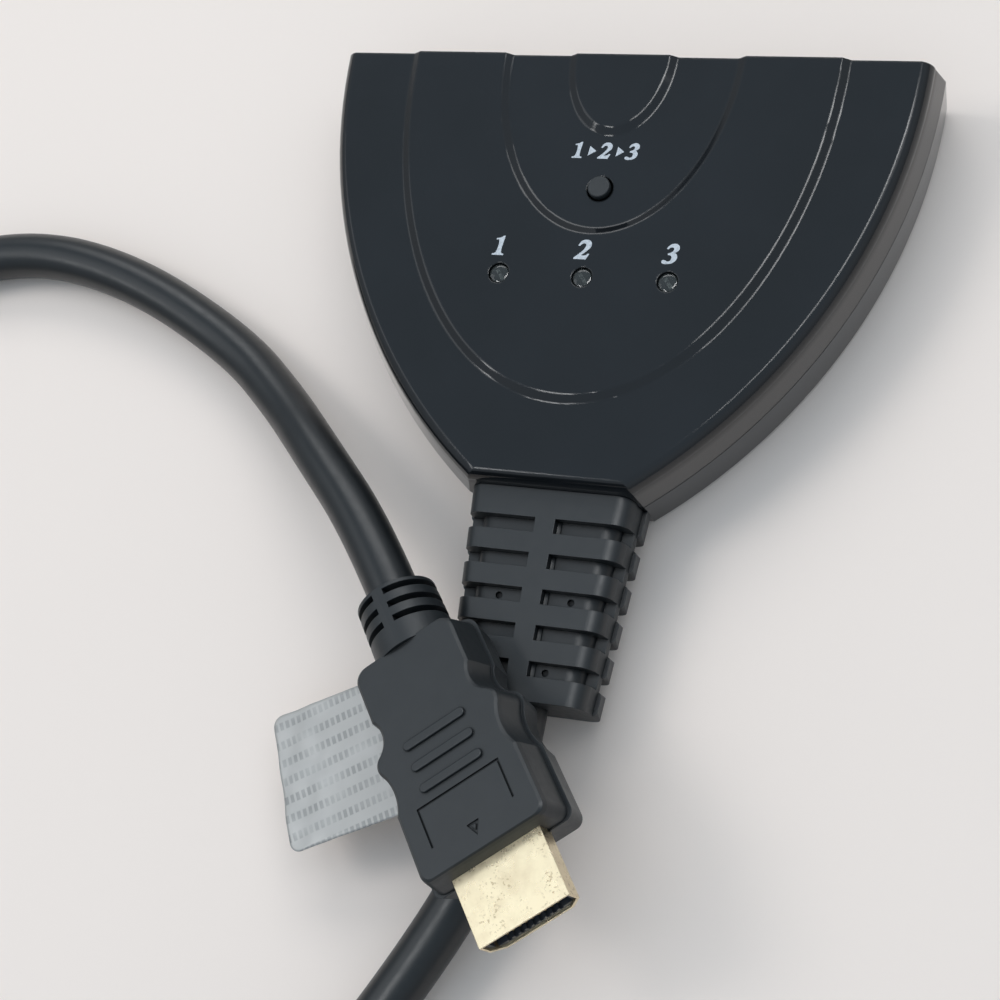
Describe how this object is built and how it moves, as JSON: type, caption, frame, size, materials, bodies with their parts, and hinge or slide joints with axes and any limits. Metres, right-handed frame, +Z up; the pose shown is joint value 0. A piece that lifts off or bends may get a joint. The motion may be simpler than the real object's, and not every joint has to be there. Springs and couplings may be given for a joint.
{
  "type": "hdmi switch adapter",
  "caption": "Fan-shaped video switch with sockets in its wide edge, a select button, lamps, a segmented strain relief and a captive lead that ends in a plug.",
  "frame": {"origin": "on the table, at the bottom centre of the housing and its strain relief together", "axes": "+Z up, +Y from the lead towards the sockets, +X to the right seen from the lead with the top face up"},
  "size_m": [0.1977, 0.1838, 0.0272],
  "materials": {
    "housing": "glossy black moulding",
    "board": "green solder mask",
    "black_nylon": "matt black",
    "steel": "plated sheet",
    "button": "matt black",
    "chip": "matt black",
    "ceramic": "fired ceramic",
    "moulded_pvc": "soft satin dark grey",
    "cord_jacket": "satin blue-black",
    "wire": "thin insulated cores",
    "inner_mould": "milky moulding",
    "gilt_shell": "pale gilt plating",
    "contact": "gilt strips",
    "lamp": "clear lens",
    "seal_film": "silvery translucent film"
  },
  "bodies": {
    "housing": {"bottom_cover": "housing", "capacitors": "ceramic", "control_chip": "chip", "crystal_can": "steel", "housing_screws": "steel", "inner_wires": "wire", "jacket_end": "cord_jacket", "lamp_1": "lamp", "lamp_2": "lamp", "lamp_3": "lamp", "lamp_legs": "steel", "main_board": "board", "pigtail_cord": "cord_jacket", "plug_contacts": "contact", "plug_inner_mould": "inner_mould", "plug_insulator": "black_nylon", "plug_jacket_end": "cord_jacket", "plug_moulding": "moulded_pvc", "plug_shell": "gilt_shell", "plug_wires": "wire", "resistors": "chip", "seal_label": "seal_film", "socket_contacts_1": "contact", "socket_contacts_2": "contact", "socket_contacts_3": "contact", "socket_insulator_1": "black_nylon", "socket_insulator_2": "black_nylon", "socket_insulator_3": "black_nylon", "socket_shell_1": "steel", "socket_shell_2": "steel", "socket_shell_3": "steel", "strain_relief": "moulded_pvc", "switch_chip": "chip", "switch_chip_leads": "steel", "tact_switch_body": "black_nylon", "tact_switch_legs": "steel", "tact_switch_plate": "steel", "top_cover": "housing"},
    "button": {"select_button": "button", "tact_plunger": "black_nylon"}
  },
  "joints": [
    {"name": "select_press", "type": "slide", "parent": "housing", "child": "button", "axis": [0, 0, -1], "range_m": [0, 0.0003], "stiffness_N_per_m": 150}
  ]
}
